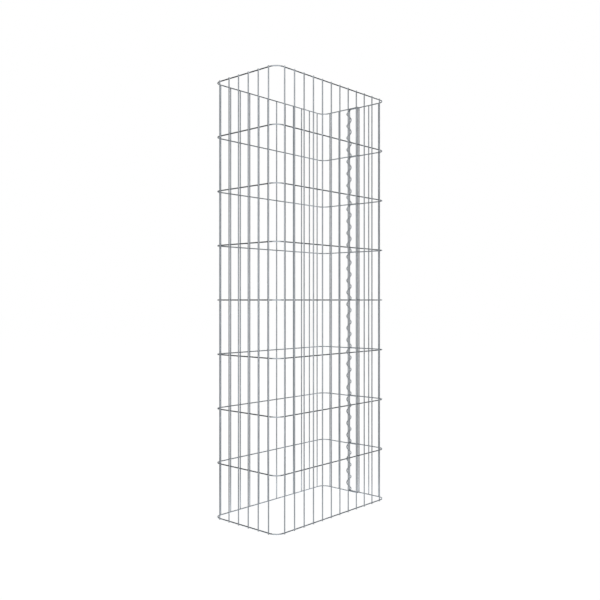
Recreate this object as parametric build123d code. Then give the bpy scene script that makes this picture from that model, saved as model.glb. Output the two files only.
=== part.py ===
from build123d import *
import math
import os

# An empty gabion column: one welded wire mat bent round four corners, its two ends
# lapped on the right-hand short side and laced together by a spiral binder.
# X runs along the long side, Y along the depth, Z up from the upright tips.

# Wire mat: upright wires welded to the outside of the hoop wires
wire_diameter = 4.5
upright_pitch = 50.0
hoop_pitch = 200.0
upright_tip = 3.2
long_side_uprights = 12
short_side_uprights = 6
hoop_count = 9

# Corner bends of the hoop wires
bend_radius = 32.0
bend_lead = 3.0

# Lapped seam on the right-hand short side
inner_end_uprights = 4
lapped_uprights = 2
lap_clearance = 0.3
hoop_overhang = 5.0

# Spiral binder round one pair of lapped uprights
spiral_wire_diameter = 4.0
spiral_turns_per_mesh = 4
spiral_clearance = 0.3

# Wires are drawn as bars of few sides, a flat turned to each weld, and bent in straight steps
bar_sides = 6
bend_steps = 5
spiral_steps_per_turn = 16
quarter_turn = 90

# Heights of the mat
hoop_span = (hoop_count - 1) * hoop_pitch
mat_height = hoop_span + 2 * upright_tip
hoop_heights = [upright_tip + level * hoop_pitch for level in range(hoop_count)]

# Plan of the hoops: the straight runs end where the bends begin
long_row_half = (long_side_uprights - 1) * upright_pitch / 2
short_row_half = (short_side_uprights - 1) * upright_pitch / 2
long_run_half = long_row_half + bend_lead
short_run_half = short_row_half + bend_lead
half_length = long_run_half + bend_radius
half_depth = short_run_half + bend_radius

# The outer end of the mat clears the uprights of the inner end
upright_offset = wire_diameter
lap_step = upright_offset + wire_diameter + lap_clearance
outer_end_uprights = short_side_uprights - inner_end_uprights + lapped_uprights


def row(count, first):
    """Places of a row of uprights, one pitch apart."""
    return [first + index * upright_pitch for index in range(count)]


long_row = row(long_side_uprights, -long_row_half)
short_row = row(short_side_uprights, -short_row_half)
inner_end_row = short_row[-inner_end_uprights:]
outer_end_row = short_row[:outer_end_uprights]


def wire_profile(diameter):
    """Section of a bar, with flats facing along its local X."""
    return RegularPolygon(diameter / 2, bar_sides, major_radius=False, rotation=quarter_turn)


def hoop_run(start, end, height):
    """Straight run of one hoop wire along X."""
    face = Plane(origin=(start, 0, height), x_dir=(0, 1, 0), z_dir=(1, 0, 0)) * wire_profile(wire_diameter)
    return extrude(face, end - start)


def upright(place):
    """One upright wire, outside the hoops, from tip to tip."""
    face = Plane(origin=(place, -upright_offset, 0), x_dir=(0, 1, 0)) * wire_profile(wire_diameter)
    return extrude(face, mat_height)


def mesh(places, start, end):
    """Flat stretch of the mat facing -Y, its wires welded where they cross."""
    runs = [hoop_run(start, end, height) for height in hoop_heights]
    uprights = [upright(place) for place in places]
    return runs[0].fuse(*runs[1:], *uprights)


def curved_wire(line, steps, diameter):
    """A wire along a line that winds round the Z axis, straight from each step to the next."""
    sections = []
    for step in range(steps + 1):
        place = line @ (step / steps)
        across = Plane(origin=place, x_dir=(place.X, place.Y, 0), z_dir=line % (step / steps))
        sections.append(across * wire_profile(diameter))
    return loft(sections, ruled=True)


def corner_bends(centre_x, centre_y, turn):
    """The bends of all hoops at one corner of the column."""
    bend = curved_wire(CenterArc((0, 0), bend_radius, turn, quarter_turn), bend_steps, wire_diameter)
    return Compound([Pos(centre_x, centre_y, height) * bend for height in hoop_heights])


def spiral_binder():
    """Left-hand spiral round the last upright of the outer end and the one behind it."""
    inner_axis = half_length + upright_offset
    outer_axis = inner_axis + lap_step
    pair_half = (outer_axis - inner_axis + wire_diameter) / 2
    flat_half = wire_diameter / 2 * math.tan(math.pi / bar_sides)
    bore = math.hypot(pair_half, flat_half) + spiral_clearance
    spiral_radius = (bore + spiral_wire_diameter / 2) / math.cos(math.pi / spiral_steps_per_turn)
    line = Helix(hoop_pitch / spiral_turns_per_mesh, hoop_span, spiral_radius, lefthand=True)
    steps = (hoop_count - 1) * spiral_turns_per_mesh * spiral_steps_per_turn
    coil = curved_wire(line, steps, spiral_wire_diameter)
    return Pos((inner_axis + outer_axis) / 2, outer_end_row[-1], hoop_heights[0]) * coil


def facing_left(shape):
    return Pos(-half_length, 0, 0) * Rot(0, 0, -quarter_turn) * shape


def facing_right(shape, layer_step):
    return Pos(half_length + layer_step, 0, 0) * Rot(0, 0, quarter_turn) * shape


def facing_front(shape):
    return Pos(0, -half_depth, 0) * shape


def facing_back(shape):
    return Pos(0, half_depth, 0) * Rot(0, 0, 2 * quarter_turn) * shape


inner_end_start = inner_end_row[0] - hoop_overhang
outer_end_stop = outer_end_row[-1] + hoop_overhang
front_run_stop = long_run_half + lap_step

pieces = {
    "front_mesh": facing_front(mesh(long_row, -long_run_half, front_run_stop)),
    "left_mesh": facing_left(mesh(short_row, -short_run_half, short_run_half)),
    "back_mesh": facing_back(mesh(long_row, -long_run_half, long_run_half)),
    "seam_inner_mesh": facing_right(mesh(inner_end_row, inner_end_start, short_run_half), 0),
    "seam_outer_mesh": facing_right(mesh(outer_end_row, -short_run_half, outer_end_stop), lap_step),
    "back_right_bends": corner_bends(long_run_half, short_run_half, 0),
    "back_left_bends": corner_bends(-long_run_half, short_run_half, quarter_turn),
    "front_left_bends": corner_bends(-long_run_half, -short_run_half, 2 * quarter_turn),
    "front_right_bends": corner_bends(front_run_stop, -short_run_half, 3 * quarter_turn),
    "spiral_binder": spiral_binder(),
}

os.makedirs("parts", exist_ok=True)
for name, piece in pieces.items():
    export_step(piece, f"parts/{name}.step")
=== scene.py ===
import math
import random

import bpy
import numpy as np
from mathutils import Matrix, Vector


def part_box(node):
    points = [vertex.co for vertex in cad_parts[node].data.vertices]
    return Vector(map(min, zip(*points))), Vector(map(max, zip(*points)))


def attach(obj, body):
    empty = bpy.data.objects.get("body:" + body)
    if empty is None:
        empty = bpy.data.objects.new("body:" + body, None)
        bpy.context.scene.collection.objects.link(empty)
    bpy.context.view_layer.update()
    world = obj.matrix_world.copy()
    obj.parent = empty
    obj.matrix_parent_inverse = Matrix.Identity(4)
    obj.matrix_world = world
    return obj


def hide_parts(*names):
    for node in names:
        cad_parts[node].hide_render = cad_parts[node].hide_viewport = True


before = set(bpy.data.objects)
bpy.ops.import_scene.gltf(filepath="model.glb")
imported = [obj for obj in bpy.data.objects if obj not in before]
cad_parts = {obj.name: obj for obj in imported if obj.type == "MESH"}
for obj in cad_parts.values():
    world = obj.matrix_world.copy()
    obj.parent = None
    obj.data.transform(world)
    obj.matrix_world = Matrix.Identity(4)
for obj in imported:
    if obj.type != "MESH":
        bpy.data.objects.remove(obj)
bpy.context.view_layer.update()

# An empty gabion column: one welded wire mat bent round four corners, its ends lapped on the right-hand
# short side and laced by a spiral binder. Its round wires follow the lines of the CAD nodes.

random.seed(11)
MM = 0.001
UP = np.array((0.0, 0.0, 1.0))
FULL_TURN = 2 * math.pi
QUARTER_TURN = math.pi / 2

# Corners of the CAD nodes that give the wires their lines, in metres
front_low, front_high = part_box("front_mesh")
back_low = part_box("back_mesh")[0]
left_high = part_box("left_mesh")[1]
inner_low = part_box("seam_inner_mesh")[0]
outer_low, outer_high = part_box("seam_outer_mesh")
bend_low, bend_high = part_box("front_left_bends")
coil_low, coil_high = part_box("spiral_binder")

# The mat is two wires thick: hoops inside, uprights outside
WIRE = (front_high.y - front_low.y) / 2
HALF = WIRE / 2
BOTTOM = front_low.z
TOP = front_high.z

# Counts and spacings of the mat. The CAD bars have six sides, with a corner at the top of each hoop.
HOOPS = 9
LONG_UPRIGHTS = 12
SHORT_UPRIGHTS = 6
END_UPRIGHTS = 4
PITCH = 50 * MM
BAR_SIDES = 6
corner_half = HALF / math.cos(math.pi / BAR_SIDES)
hoop_heights = np.linspace(bend_low.z + corner_half, bend_high.z - corner_half, HOOPS)

# Centre lines of the hoops on each side, and the radius and flattening of their bends
FRONT_LINE = front_high.y - HALF
BACK_LINE = back_low.y + HALF
LEFT_LINE = left_high.x - HALF
INNER_LINE = inner_low.x + HALF
OUTER_LINE = outer_low.x + HALF
BEND = bend_high.x - bend_low.x - HALF
BEND_FLAT_SHARE = 0.03

# Welds: an upright is pressed a little into each hoop that it crosses, and both are flattened there
SET_DOWN = 0.45 * MM
UPRIGHT_OUT = WIRE - SET_DOWN
WELD_FLAT_SHARE = 0.05
WELD_REACH = 5 * MM
WELD_RING_SHARES = (-1.0, -0.5, -0.22, 0.0, 0.22, 0.5, 1.0)
WELD_FALL_OFF = 2.4

# Weld beads reach further into the four corners between the wires than along them, and no two are alike
BEAD_REACH = 1.75 * MM
BEAD_CORNER_REACH = 0.75 * MM
BEAD_THICKNESS = 0.85 * MM
BEAD_PROFILE_SHARES = ((0.45, 0.86), (0.8, 0.52), (1.0, 0.0), (0.8, -0.52), (0.45, -0.86))
BEAD_SIZE_SHARES = (0.92, 1.08)
BEAD_EDGE_SHARES = (0.94, 1.06)

# Cut ends: a worn edge, then a slightly smaller and slightly slanting face
CUT_EDGE = 0.4 * MM
CUT_SLANT_SHARES = (0.06, 0.13)
CUT_FACE_SHARE = 0.86
CUT_EDGE_BARE_SHARE = 0.35
END_MARGIN = 0.6 * MM

# Spiral binder
SPIRAL_WIRE = 4 * MM
SPIRAL_TURNS = 32
SPIRAL_CLEARANCE = 0.3 * MM
spiral_x = (coil_low.x + coil_high.x) / 2
spiral_y = (coil_low.y + coil_high.y) / 2
pair_half = (OUTER_LINE - INNER_LINE + WIRE) / 2
SPIRAL_RADIUS = pair_half + SPIRAL_CLEARANCE + SPIRAL_WIRE / 2

# Fineness of the meshes
WIRE_SIDES = 16
SPIRAL_SIDES = 14
BEND_STEPS = 14
SPIRAL_STEPS = 28
BEAD_SIDES = 16
SHARP_EDGE = math.radians(38)

# Each wire shows another stretch of the zinc pattern, up to this many metres along it
PATTERN_LENGTH = 10


def put_in_scene(name, data):
    """Puts a mesh, a lamp or a camera into the scene."""
    thing = bpy.data.objects.new(name, data)
    bpy.context.scene.collection.objects.link(thing)
    return thing


class Wires:
    """Wires swept ring by ring into one mesh, each point knowing its place on its own wire."""

    def __init__(self, sides):
        turn = np.arange(sides) * FULL_TURN / sides
        self.cosine, self.sine = np.cos(turn), np.sin(turn)
        self.sides = sides
        self.count = 0
        self.points = []
        self.faces = []
        self.places = []
        self.heat = []
        self.bare = []

    def add(self, rings):
        """Adds a wire. Rings have centre, across, up, wide, high, run, and some have heat, bare or lean."""
        start = self.count
        offset = random.uniform(0, PATTERN_LENGTH)
        for ring in rings:
            across, up = ring["across"], ring["up"]
            wide, high = self.cosine * ring["wide"], self.sine * ring["high"]
            lean = ring.get("lean", 0.0) * (1 + self.cosine)
            spread = np.outer(wide, across) + np.outer(high, up)
            self.points.append(ring["centre"] + spread + np.outer(lean, np.cross(across, up)))
            self.places.append(np.stack([np.full(self.sides, ring["run"] + offset), wide, high], 1))
            self.heat.append(np.full(self.sides, ring.get("heat", 0.0)))
            self.bare.append(np.full(self.sides, ring.get("bare", 0.0)))
        last = start + (len(rings) - 1) * self.sides
        for base in range(start, last, self.sides):
            for side in range(self.sides):
                near, far = base + side, base + (side + 1) % self.sides
                self.faces.append((near, far, far + self.sides, near + self.sides))
        self.faces.append(tuple(start + side for side in reversed(range(self.sides))))
        self.faces.append(tuple(last + side for side in range(self.sides)))
        self.count = last + self.sides

    def make(self, name, finish):
        mesh = bpy.data.meshes.new(name)
        mesh.from_pydata(np.concatenate(self.points).tolist(), [], self.faces)
        keep_place(mesh, np.concatenate(self.places), np.concatenate(self.heat), np.concatenate(self.bare))
        return finished_piece(name, mesh, finish)


def keep_place(mesh, places, heat, bare):
    """Stores where each point lies on its wire, how near a weld it is and whether it is a cut end."""
    mesh.attributes.new("wire_place", "FLOAT_VECTOR", "POINT").data.foreach_set("vector", places.ravel())
    mesh.attributes.new("weld_heat", "FLOAT", "POINT").data.foreach_set("value", heat)
    mesh.attributes.new("bare_end", "FLOAT", "POINT").data.foreach_set("value", bare)


def finished_piece(name, mesh, finish):
    mesh.validate()
    mesh.shade_smooth()
    mesh.set_sharp_from_angle(angle=SHARP_EDGE)
    mesh.materials.append(finish)
    piece = put_in_scene(name, mesh)
    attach(piece, "root")
    return piece


def cut_end(centre, along, across, up, radius, run):
    """Two rings that close a sheared wire end: a small worn edge, then the slightly slanting cut."""
    slant = random.uniform(*CUT_SLANT_SHARES) * radius
    if np.dot(np.cross(across, up), along) > 0:
        slant = -slant
    rim = {
        "centre": centre - along * CUT_EDGE, "across": across, "up": up, "wide": radius, "high": radius,
        "run": run, "bare": CUT_EDGE_BARE_SHARE, "lean": slant / 2,
    }
    face_radius = radius * CUT_FACE_SHARE
    face = {
        "centre": centre, "across": across, "up": up, "wide": face_radius, "high": face_radius,
        "run": run, "bare": 1.0, "lean": slant,
    }
    return rim, face


def weld_rings(distance):
    """Places along a wire and how hard it is pressed there, around one weld."""
    return [
        (distance + share * WELD_REACH, math.exp(-(share * WELD_FALL_OFF) ** 2)) for share in WELD_RING_SHARES
    ]


def upright(wires, place, inward):
    """One upright wire from tip to tip, flattened a little on the outside where it is welded."""
    inward = np.array(inward, float)
    beside = np.cross(UP, inward)
    foot = np.array((place[0], place[1], 0.0))

    def ring(height, press):
        centre = foot + UP * height + inward * press * WELD_FLAT_SHARE * HALF
        return {
            "centre": centre, "across": inward, "up": beside, "run": height, "heat": press,
            "wide": HALF * (1 - press * WELD_FLAT_SHARE), "high": HALF * (1 + press * WELD_FLAT_SHARE / 2),
        }

    low_rim, low_face = cut_end(foot + UP * BOTTOM, -UP, inward, beside, HALF, BOTTOM)
    high_rim, high_face = cut_end(foot + UP * TOP, UP, inward, beside, HALF, TOP)
    rings = [low_face, low_rim]
    for weld in hoop_heights:
        for height, press in weld_rings(weld):
            if BOTTOM + END_MARGIN < height < TOP - END_MARGIN:
                rings.append(ring(height, press))
    rings += [high_rim, high_face]
    wires.add(rings)


def centred_row(count):
    return [(index - (count - 1) / 2) * PITCH for index in range(count)]


long_row = centred_row(LONG_UPRIGHTS)
short_row = centred_row(SHORT_UPRIGHTS)
inner_row = short_row[-END_UPRIGHTS:]
outer_row = short_row[:END_UPRIGHTS]

# Each side of the mat: its uprights' places, the direction from them to the hoops, and its CAD node
SIDES = {
    "front": ([(x, FRONT_LINE - UPRIGHT_OUT) for x in long_row], (0, 1, 0), "front_mesh"),
    "left": ([(LEFT_LINE - UPRIGHT_OUT, y) for y in short_row], (1, 0, 0), "left_mesh"),
    "back": ([(x, BACK_LINE + UPRIGHT_OUT) for x in long_row], (0, -1, 0), "back_mesh"),
    "seam_inner": ([(INNER_LINE + UPRIGHT_OUT, y) for y in inner_row], (-1, 0, 0), "seam_inner_mesh"),
    "seam_outer": ([(OUTER_LINE + UPRIGHT_OUT, y) for y in outer_row], (-1, 0, 0), "seam_outer_mesh"),
}


def straight_stops(start, heading, length, welds):
    """Distances along a straight run of a hoop where a ring goes, and how hard it is pressed there."""
    stops = {0.0: 0.0, length: 0.0}
    for weld in welds:
        for distance, press in weld_rings(np.dot(np.array(weld) - start, heading)):
            if END_MARGIN < distance < length - END_MARGIN:
                stops[distance] = max(press, stops.get(distance, 0.0))
    return sorted(stops.items())


def hoop_plan():
    """Plan of one hoop from its inner end round to its outer end: place, heading, run, press, tightness."""
    back_turn, front_turn = BACK_LINE - BEND, FRONT_LINE + BEND
    right_turn, left_turn, outer_turn = INNER_LINE - BEND, LEFT_LINE + BEND, OUTER_LINE - BEND
    legs = [
        ((INNER_LINE, inner_low.y), (INNER_LINE, back_turn), [(INNER_LINE, y) for y in inner_row]),
        ((right_turn, BACK_LINE), (left_turn, BACK_LINE), [(x, BACK_LINE) for x in reversed(long_row)]),
        ((LEFT_LINE, back_turn), (LEFT_LINE, front_turn), [(LEFT_LINE, y) for y in reversed(short_row)]),
        ((left_turn, FRONT_LINE), (outer_turn, FRONT_LINE), [(x, FRONT_LINE) for x in long_row]),
        ((OUTER_LINE, front_turn), (OUTER_LINE, outer_high.y), [(OUTER_LINE, y) for y in outer_row]),
    ]
    bend_centres = [
        (right_turn, back_turn), (left_turn, back_turn), (left_turn, front_turn), (outer_turn, front_turn),
    ]
    bend_length = BEND * QUARTER_TURN
    plan = []
    run = 0.0
    for leg, (start, end, welds) in enumerate(legs):
        start, end = np.array(start), np.array(end)
        length = np.linalg.norm(end - start)
        heading = (end - start) / length
        for distance, press in straight_stops(start, heading, length, welds):
            plan.append((start + heading * distance, heading, run + distance, press, 0.0))
        run += length
        if leg == len(bend_centres):
            break
        for step in range(1, BEND_STEPS):
            angle = (leg + step / BEND_STEPS) * QUARTER_TURN
            outward = np.array((math.cos(angle), math.sin(angle)))
            heading = np.array((-math.sin(angle), math.cos(angle)))
            tightness = math.sin(math.pi * step / BEND_STEPS)
            place = bend_centres[leg] + BEND * outward
            plan.append((place, heading, run + bend_length * step / BEND_STEPS, 0.0, tightness))
        run += bend_length
    return plan


def hoop(name, height, plan, finish):
    """One hoop wire: a single length, bent at four corners, its two cut ends lapped at the seam."""
    rings = []
    for place, heading, run, press, tightness in plan:
        inward = np.array((-heading[1], heading[0], 0.0))
        centre = np.array((place[0], place[1], height)) - inward * press * WELD_FLAT_SHARE * HALF
        rings.append({
            "centre": centre, "across": inward, "up": UP, "run": run, "heat": press,
            "wide": HALF * (1 - press * WELD_FLAT_SHARE - BEND_FLAT_SHARE * tightness),
            "high": HALF * (1 + BEND_FLAT_SHARE * tightness / 2),
        })
    first, last = rings[0], rings[-1]
    out_of_first = -np.array((*plan[0][1], 0.0))
    out_of_last = np.array((*plan[-1][1], 0.0))
    first_rim, first_face = cut_end(first["centre"], out_of_first, first["across"], UP, HALF, first["run"])
    last_rim, last_face = cut_end(last["centre"], out_of_last, last["across"], UP, HALF, last["run"])
    wires = Wires(WIRE_SIDES)
    wires.add([first_face, first_rim, *rings[1:-1], last_rim, last_face])
    return wires.make(name, finish)


def spiral(finish):
    """Left-hand coil round the lapped pair of uprights, from the bottom hoop to the top one."""
    low, high = hoop_heights[0], hoop_heights[-1]
    whole_turn = FULL_TURN * SPIRAL_TURNS
    rise = (high - low) / whole_turn
    pace = math.hypot(SPIRAL_RADIUS, rise)
    radius = SPIRAL_WIRE / 2

    def coil_at(angle):
        """Centre of the wire, and the directions along it, outward and beside it."""
        outward = np.array((math.cos(angle), -math.sin(angle), 0.0))
        onward = np.array((-math.sin(angle), -math.cos(angle), 0.0))
        along = (onward * SPIRAL_RADIUS + UP * rise) / pace
        centre = np.array((spiral_x, spiral_y, low + rise * angle)) + outward * SPIRAL_RADIUS
        return centre, along, outward, np.cross(along, outward)

    steps = SPIRAL_TURNS * SPIRAL_STEPS
    rings = []
    for step in range(1, steps):
        angle = whole_turn * step / steps
        centre, _, outward, beside = coil_at(angle)
        rings.append({
            "centre": centre, "across": outward, "up": beside, "run": angle * pace,
            "wide": radius, "high": radius,
        })
    centre, along, outward, beside = coil_at(0.0)
    low_rim, low_face = cut_end(centre, -along, outward, beside, radius, 0.0)
    centre, along, outward, beside = coil_at(whole_turn)
    high_rim, high_face = cut_end(centre, along, outward, beside, radius, whole_turn * pace)
    wires = Wires(SPIRAL_SIDES)
    wires.add([low_face, low_rim, *rings, high_rim, high_face])
    return wires.make("spiral_binder_wire", finish)


def bead_points(centre, inward, beside):
    """Points of one weld bead: its inner pole, its rings and its outer pole."""
    size = random.uniform(*BEAD_SIZE_SHARES)
    edges = [random.uniform(*BEAD_EDGE_SHARES) for _ in range(BEAD_SIDES)]
    pole = inward * BEAD_THICKNESS * size
    points = [centre + pole]
    for wide, thick in BEAD_PROFILE_SHARES:
        for side, edge in enumerate(edges):
            angle = FULL_TURN * side / BEAD_SIDES
            reach = (BEAD_REACH + BEAD_CORNER_REACH * abs(math.sin(2 * angle))) * size * edge * wide
            spread = beside * math.cos(angle) * reach + UP * math.sin(angle) * reach
            points.append(centre + spread + pole * thick)
    points.append(centre - pole)
    return points


def bead_faces(start):
    """Faces of one weld bead whose points begin at start."""
    first_ring = start + 1
    last_ring = first_ring + (len(BEAD_PROFILE_SHARES) - 1) * BEAD_SIDES
    outer_pole = last_ring + BEAD_SIDES
    faces = []
    for side in range(BEAD_SIDES):
        after = (side + 1) % BEAD_SIDES
        faces.append((start, first_ring + side, first_ring + after))
        for base in range(first_ring, last_ring, BEAD_SIDES):
            near, far = base + side, base + after
            faces.append((near, near + BEAD_SIDES, far + BEAD_SIDES, far))
        faces.append((outer_pole, last_ring + after, last_ring + side))
    return faces


def weld_beads(name, places, inward, finish):
    """Beads of squeezed-out metal where the uprights of one side cross the hoops."""
    inward = np.array(inward, float)
    beside = np.cross(UP, inward)
    points, faces = [], []
    for x, y in places:
        for height in hoop_heights:
            centre = np.array((x, y, height)) + inward * (HALF - SET_DOWN / 2)
            faces += bead_faces(len(points))
            points += bead_points(centre, inward, beside)
    mesh = bpy.data.meshes.new(name)
    mesh.from_pydata([tuple(point) for point in points], [], faces)
    keep_place(mesh, np.array(points), np.ones(len(points)), np.zeros(len(points)))
    return finished_piece(name, mesh, finish)


class Value:
    """A shader socket that can be added, subtracted and multiplied like a number."""

    def __init__(self, shader, socket):
        self.shader = shader
        self.socket = socket

    def _maths(self, operation, first, second):
        return self.shader.node("ShaderNodeMath", {"operation": operation}, {0: first, 1: second})

    def __add__(self, other):
        return self._maths("ADD", self, other)

    def __radd__(self, other):
        return self._maths("ADD", other, self)

    def __sub__(self, other):
        return self._maths("SUBTRACT", self, other)

    def __rsub__(self, other):
        return self._maths("SUBTRACT", other, self)

    def __mul__(self, other):
        return self._maths("MULTIPLY", self, other)

    def __rmul__(self, other):
        return self._maths("MULTIPLY", other, self)


class Shader:
    """The node tree of one material or of the world."""

    def __init__(self, owner):
        owner.use_nodes = True
        self.tree = owner.node_tree
        self.tree.nodes.clear()

    def node(self, kind, settings=None, sockets=None, output=0):
        """Adds a node: its settings first, then its sockets' values or links. Gives one output."""
        made = self.tree.nodes.new(kind)
        for key, value in (settings or {}).items():
            setattr(made, key, value)
        for key, value in (sockets or {}).items():
            if isinstance(value, Value):
                self.tree.links.new(value.socket, made.inputs[key])
            else:
                made.inputs[key].default_value = value
        return Value(self, made.outputs[output]) if len(made.outputs) else None

    def stored(self, name, output):
        """What keep_place stored under a name."""
        return self.node("ShaderNodeAttribute", {"attribute_name": name}, None, output)

    def stretched(self, place, waves):
        return self.node("ShaderNodeVectorMath", {"operation": "MULTIPLY"}, {0: place, 1: waves})

    def noise(self, place, waves, detail=2.0, roughness=0.5):
        grain = {"Scale": 1.0, "Detail": detail, "Roughness": roughness}
        return self.node("ShaderNodeTexNoise", None, {"Vector": self.stretched(place, waves), **grain})

    def cells(self, place, waves, randomness):
        grain = {"Vector": self.stretched(place, waves), "Scale": 1.0, "Randomness": randomness}
        return self.node("ShaderNodeTexVoronoi", {"feature": "F1"}, grain, "Distance")

    def ramp(self, value, low, high):
        """Smooth step from 0 at low to 1 at high."""
        sockets = {"Value": value, "From Min": low, "From Max": high}
        return self.node("ShaderNodeMapRange", {"interpolation_type": "SMOOTHSTEP"}, sockets)

    def blend(self, share, first, second):
        """Mixes two colours."""
        sockets = {"Factor": share, 6: first, 7: second}
        return self.node("ShaderNodeMix", {"data_type": "RGBA"}, sockets, 2)


# Zinc finishes, as linear colours
ZINC_BRIGHT = (0.505, 0.545, 0.59, 1)
ZINC_DULL = (0.385, 0.415, 0.45, 1)
ZINC_BLOOM = (0.61, 0.645, 0.68, 1)
ZINC_BURNT = (0.62, 0.63, 0.64, 1)
BARE_STEEL = (0.6, 0.6, 0.6, 1)
BLACK = (0, 0, 0, 1)
WHITE = (1, 1, 1, 1)

# Zinc patterns, in waves to the metre along a wire and across it
DRAW_LINE_WAVES = (45, 2600, 2600)
MOTTLE_WAVES = (260, 420, 420)
PATCH_WAVES = (14, 90, 90)
CRYSTAL_WAVES = (420, 700, 700)

# Levels of the patterns between which a mark fades in, and how much of its colour shows
DULL_FADE = (0.38, 0.62)
DULL_MOTTLE_SHARE = 0.55
BLOOM_PATCH_FADE = (0.56, 0.72)
BLOOM_MOTTLE_FADE = (0.42, 0.66)
BLOOM_SHARE = 0.7
BURNT_FADE = (0.25, 0.6)
BURNT_SHARE = 0.8

# Roughness of bright zinc, and what the marks add to it or, for draw lines, take away
BRIGHT_ROUGHNESS = 0.27
DULL_ROUGHNESS = 0.12
BLOOM_ROUGHNESS = 0.14
BURNT_ROUGHNESS = 0.16
DRAW_LINE_POLISH = 0.05

# Relief of the zinc
DRAW_LINE_RELIEF = 0.5
CRYSTAL_RELIEF = 0.3
MOTTLE_RELIEF = 0.6
RELIEF_DEPTH = 0.15 * MM
RELIEF_STRENGTH = 0.3

# Brightness of each finish, beside that of the mesh
MESH_SHADE = 1.0
SPIRAL_SHADE = 0.94
WELD_SHADE = 0.96


def zinc_wire(name, shade):
    """Drawn steel wire with a satin zinc coat: fine draw lines, small crystals, dull patches and bloom."""
    material = bpy.data.materials.new(name)
    shader = Shader(material)
    place = shader.stored("wire_place", "Vector")
    heat = shader.stored("weld_heat", "Fac")
    bare = shader.stored("bare_end", "Fac")
    draw_lines = shader.noise(place, DRAW_LINE_WAVES)
    mottle = shader.noise(place, MOTTLE_WAVES, detail=3.0, roughness=0.6)
    patches = shader.noise(place, PATCH_WAVES)
    crystals = shader.cells(place, CRYSTAL_WAVES, randomness=0.9)
    dull = shader.ramp(DULL_MOTTLE_SHARE * mottle + (1 - DULL_MOTTLE_SHARE) * patches, *DULL_FADE)
    bloom = shader.ramp(patches, *BLOOM_PATCH_FADE) * shader.ramp(mottle, *BLOOM_MOTTLE_FADE)
    burnt = heat * shader.ramp(mottle, *BURNT_FADE)
    colour = shader.blend(dull, ZINC_BRIGHT, ZINC_DULL)
    colour = shader.blend(BLOOM_SHARE * bloom, colour, ZINC_BLOOM)
    colour = shader.blend(BURNT_SHARE * burnt, colour, ZINC_BURNT)
    colour = shader.blend(bare, colour, BARE_STEEL)
    colour = shader.blend(1 - shade, colour, BLACK)
    roughness = BRIGHT_ROUGHNESS + DULL_ROUGHNESS * dull + BLOOM_ROUGHNESS * bloom
    roughness = roughness + BURNT_ROUGHNESS * burnt - DRAW_LINE_POLISH * draw_lines
    relief = DRAW_LINE_RELIEF * draw_lines + CRYSTAL_RELIEF * crystals + MOTTLE_RELIEF * mottle
    bumps = {"Strength": RELIEF_STRENGTH, "Distance": RELIEF_DEPTH, "Height": relief}
    normal = shader.node("ShaderNodeBump", None, bumps)
    zinc = {"Base Color": colour, "Roughness": roughness, "Metallic": 1.0, "Normal": normal}
    surface = shader.node("ShaderNodeBsdfPrincipled", None, zinc)
    shader.node("ShaderNodeOutputMaterial", None, {"Surface": surface})
    return material


mesh_zinc = zinc_wire("mesh_zinc", MESH_SHADE)
spiral_zinc = zinc_wire("spiral_zinc", SPIRAL_SHADE)
weld_zinc = zinc_wire("weld_zinc", WELD_SHADE)

for side, (places, inward, node) in SIDES.items():
    wires = Wires(WIRE_SIDES)
    for place in places:
        upright(wires, place, inward)
    piece = wires.make(f"{side}_uprights", mesh_zinc)
    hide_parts(node)
    beads = weld_beads(f"{side}_welds", places, inward, weld_zinc)

plan = hoop_plan()
for level, height in enumerate(hoop_heights, start=1):
    piece = hoop(f"hoop_{level}", height, plan, mesh_zinc)
    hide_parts("front_left_bends", "front_right_bends", "back_left_bends", "back_right_bends")

coil = spiral(spiral_zinc)
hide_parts("spiral_binder")

# White studio: the floor and the surroundings look white, and light the object only a little
FLOOR_REACH = 30.0
FLOOR_PAPER = (0.8, 0.8, 0.8, 1)
FLOOR_GLOW = 0.815
FILL_LIGHT = 0.23
LAMP_PLACE = (0.8, -1.2, 8.0)
LAMP_AIM = (0, 0, 0.8)
LAMP_SIZE = 4.0
LAMP_POWER = 20


def seen_white(shader):
    """1 where the eye, a mirror or glass looks at the background, 0 for the light that falls on things."""
    seen = shader.node("ShaderNodeLightPath", None, None, "Is Camera Ray")
    mirrored = shader.node("ShaderNodeLightPath", None, None, "Is Glossy Ray")
    through = shader.node("ShaderNodeLightPath", None, None, "Is Transmission Ray")
    return seen + mirrored + through


def rectangle(low, high):
    """Corners of a rectangle in plan."""
    return [(low[0], low[1]), (high[0], low[1]), (high[0], high[1]), (low[0], high[1])]


def stage_sheet(name, corners, material):
    """One flat sheet of the studio, which isn't part of the object."""
    mesh = bpy.data.meshes.new(name)
    mesh.from_pydata([tuple(corner) for corner in corners], [], [(0, 1, 2, 3)])
    mesh.materials.append(material)
    sheet = put_in_scene(name, mesh)
    return sheet


def white_floor():
    """Wide pale floor that the upright tips stand on."""
    material = bpy.data.materials.new("floor_white")
    shader = Shader(material)
    paper = shader.node("ShaderNodeBsdfDiffuse", None, {"Color": FLOOR_PAPER})
    strength = FLOOR_GLOW * seen_white(shader)
    glow = shader.node("ShaderNodeEmission", None, {"Color": WHITE, "Strength": strength})
    both = shader.node("ShaderNodeAddShader", None, {0: paper, 1: glow})
    shader.node("ShaderNodeOutputMaterial", None, {"Surface": both})
    plan = rectangle((-FLOOR_REACH, -FLOOR_REACH), (FLOOR_REACH, FLOOR_REACH))
    stage_sheet("floor", [(x, y, BOTTOM) for x, y in plan], material)


def white_surroundings():
    world = bpy.data.worlds.new("white_surroundings")
    bpy.context.scene.world = world
    shader = Shader(world)
    strength = FILL_LIGHT + (1 - FILL_LIGHT) * seen_white(shader)
    sky = shader.node("ShaderNodeBackground", None, {"Color": WHITE, "Strength": strength})
    shader.node("ShaderNodeOutputWorld", None, {"Surface": sky})


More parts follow.
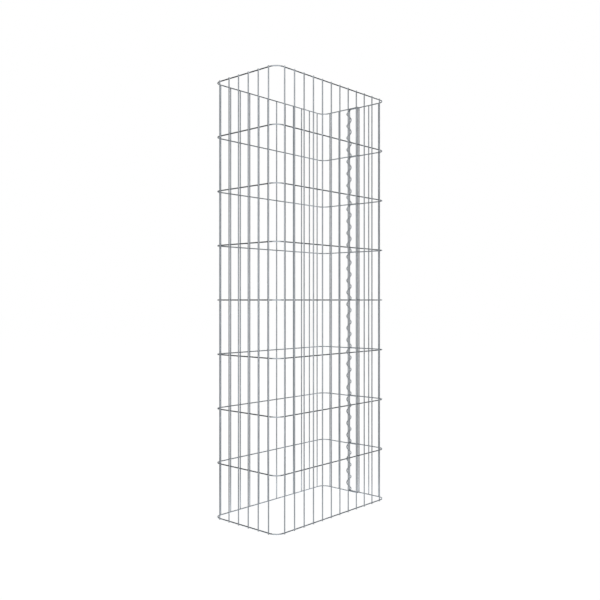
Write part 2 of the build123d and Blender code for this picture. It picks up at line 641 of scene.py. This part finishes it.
def overhead_lamp():
    lamp = bpy.data.lights.new("overhead", "AREA")
    lamp.shape = "SQUARE"
    lamp.size = LAMP_SIZE
    lamp.energy = LAMP_POWER
    holder = put_in_scene("overhead", lamp)
    holder.location = LAMP_PLACE
    holder.rotation_euler = (Vector(LAMP_AIM) - Vector(LAMP_PLACE)).to_track_quat("-Z", "Y").to_euler()
    holder.visible_camera = False


# Camera: level, at half height, turned towards the near corner
CAMERA_TURN = math.radians(47.83)
CAMERA_DISTANCE = 2.7952
CAMERA_SIDE = -0.0105
CAMERA_VIEW = math.radians(45)
AHEAD = Vector((math.sin(CAMERA_TURN), math.cos(CAMERA_TURN), 0))
RIGHT = Vector((math.cos(CAMERA_TURN), -math.sin(CAMERA_TURN), 0))


def set_camera():
    camera = bpy.data.cameras.new("camera")
    camera.angle = CAMERA_VIEW
    holder = put_in_scene("camera", camera)
    holder.location = RIGHT * CAMERA_SIDE - AHEAD * CAMERA_DISTANCE + Vector((0, 0, (BOTTOM + TOP) / 2))
    holder.rotation_euler = (QUARTER_TURN, 0, -CAMERA_TURN)
    bpy.context.scene.camera = holder


# Studio cards that only the metal mirrors. Each starts at a stop, in metres to the right of the column's
# axis and ahead of it, and ends at the next one's. A wide soft box stands before the column, a narrow one
# behind it and a fill on either hand, with black flags between them. White has a level of 1.
RING_SIDE = 0.62
RING_FRONT = -1.2
RING_BACK = 1.7
FRONT_BOX_END = -0.7
LEFT_FILL_ENDS = (0.1, 0.4)
RIGHT_FILL_ENDS = (0.4, 1.0)
BACK_BOX_HALF = 0.2
FRONT_LEVEL = 1.25
LEFT_FILL_LEVEL = 0.65
RIGHT_FILL_LEVEL = 1.5
BACK_LEVEL = 2.0
FLAG_LEVEL = 0.0
CARD_HEIGHT = 2.2
CARD_RING = [
    ("left_front_soft_box", (-RING_SIDE, RING_FRONT), FRONT_LEVEL),
    ("left_flag", (-RING_SIDE, FRONT_BOX_END), FLAG_LEVEL),
    ("left_fill", (-RING_SIDE, LEFT_FILL_ENDS[0]), LEFT_FILL_LEVEL),
    ("left_back_flag", (-RING_SIDE, LEFT_FILL_ENDS[1]), FLAG_LEVEL),
    ("back_left_flag", (-RING_SIDE, RING_BACK), FLAG_LEVEL),
    ("back_soft_box", (-BACK_BOX_HALF, RING_BACK), BACK_LEVEL),
    ("back_right_flag", (BACK_BOX_HALF, RING_BACK), FLAG_LEVEL),
    ("right_back_flag", (RING_SIDE, RING_BACK), FLAG_LEVEL),
    ("right_fill", (RING_SIDE, RIGHT_FILL_ENDS[1]), RIGHT_FILL_LEVEL),
    ("right_flag", (RING_SIDE, RIGHT_FILL_ENDS[0]), FLAG_LEVEL),
    ("right_front_soft_box", (RING_SIDE, FRONT_BOX_END), FRONT_LEVEL),
    ("front_soft_box", (RING_SIDE, RING_FRONT), FRONT_LEVEL),
]

# One card lies level above the whole ring
OVERHEAD_CARD = ((-0.7, -1.3), (0.7, 1.8))
OVERHEAD_HEIGHT = 2.4
OVERHEAD_LEVEL = 0.55

# Grey cards lie on the floor before the two near sides, up to the hoops, so that the lowest wires aren't
# washed out. Each has two corners in the column's own X and Y.
FLOOR_CARD_REACH = 2.0
FLOOR_CARD_LIFT = 0.2 * MM
FLOOR_CARD_LEVEL = 0.55
FLOOR_CARDS = {
    "front_floor_card": ((-FLOOR_CARD_REACH, -FLOOR_CARD_REACH), (FLOOR_CARD_REACH, FRONT_LINE)),
    "left_floor_card": ((-FLOOR_CARD_REACH, FRONT_LINE), (LEFT_LINE, FLOOR_CARD_REACH)),
}


def studio_card(name, corners, level):
    """A plain card of one grey level."""
    material = bpy.data.materials.new(name)
    shader = Shader(material)
    glow = shader.node("ShaderNodeEmission", None, {"Color": WHITE, "Strength": level})
    shader.node("ShaderNodeOutputMaterial", None, {"Surface": glow})
    card = stage_sheet(name, corners, material)
    card.visible_camera = False
    card.visible_diffuse = False
    card.visible_shadow = False


def ring_of_cards():
    rise = Vector((0, 0, CARD_HEIGHT))
    feet = [RIGHT * right + AHEAD * ahead for _, (right, ahead), _ in CARD_RING]
    for index, (name, _, level) in enumerate(CARD_RING):
        start, end = feet[index], feet[(index + 1) % len(feet)]
        studio_card(name, (start, end, end + rise, start + rise), level)


def overhead_card():
    lift = Vector((0, 0, OVERHEAD_HEIGHT))
    corners = [RIGHT * right + AHEAD * ahead + lift for right, ahead in rectangle(*OVERHEAD_CARD)]
    studio_card("overhead_soft_box", corners, OVERHEAD_LEVEL)


def floor_cards():
    for name, (low, high) in FLOOR_CARDS.items():
        corners = [(x, y, BOTTOM + FLOOR_CARD_LIFT) for x, y in rectangle(low, high)]
        studio_card(name, corners, FLOOR_CARD_LEVEL)


white_floor()
white_surroundings()
overhead_lamp()
ring_of_cards()
overhead_card()
floor_cards()
set_camera()
bpy.context.scene.view_settings.view_transform = "Standard"
